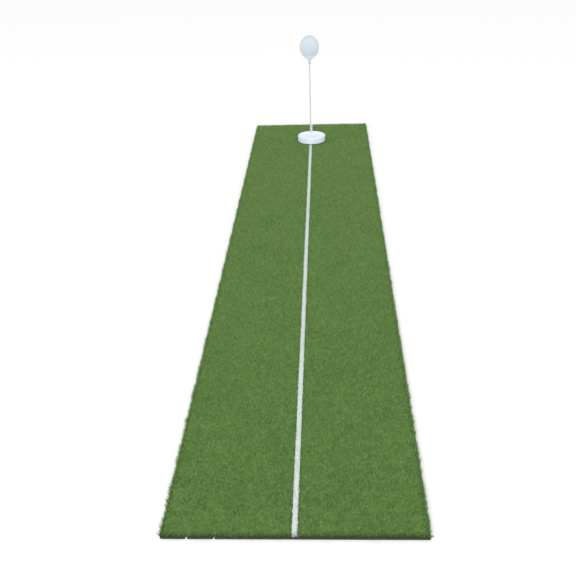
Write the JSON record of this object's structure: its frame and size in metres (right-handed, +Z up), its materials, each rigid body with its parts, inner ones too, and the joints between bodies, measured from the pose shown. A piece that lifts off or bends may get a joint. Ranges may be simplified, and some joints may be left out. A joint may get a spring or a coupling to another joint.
{
  "type": "practice putting mat",
  "caption": "Long strip of short green turf with a white aiming line, a shallow white cup standing near its far end and a rod marker flag plugged into the back of the cup.",
  "frame": {"origin": "middle of the mat's underside, on the surface that it lies on", "axes": "+Y along the mat from the player's end to the cup, +X to the player's right, +Z up"},
  "size_m": [0.457, 2.438, 0.413],
  "materials": {
    "backing_rubber": "matt dark latex with a fine pebbled underside",
    "backing_weave": "dark woven tape cloth",
    "green_pile": "short dense cut pile, matt with a slight sheen",
    "white_pile": "short dense cut pile, matt",
    "cup_plastic": "satin moulded",
    "grip_rubber": "matt",
    "bush_plastic": "fine matt moulded",
    "rod_lacquer": "pale grey lacquer",
    "collar_plastic": "satin moulded",
    "head_border": "satin moulded",
    "head_panel": "smooth pale sheet"
  },
  "bodies": {
    "mat": {"rubber_backing": "backing_rubber", "woven_backing": "backing_weave", "turf_left": "green_pile", "turf_right": "green_pile", "line_pile": "white_pile"},
    "cup": {"cup_dish": "cup_plastic", "cup_grip_ring": "grip_rubber"},
    "bush": {"socket_bush": "bush_plastic"},
    "flagstick": {"flag_rod": "rod_lacquer", "neck_collar": "collar_plastic", "head_border": "head_border", "head_panel": "head_panel"}
  },
  "joints": [
    {"name": "cup_lift", "type": "slide", "parent": "mat", "child": "cup", "axis": [0, 0, 1], "range_m": [0, 0.12]},
    {"name": "flag_turn", "type": "hinge", "parent": "cup", "child": "bush", "pos_m": [0, 1.02685, 0.03], "axis": [0, 0, 1], "continuous": true},
    {"name": "flagstick_pull", "type": "slide", "parent": "bush", "child": "flagstick", "axis": [0, 0, 1], "range_m": [0, 0.08]}
  ]
}
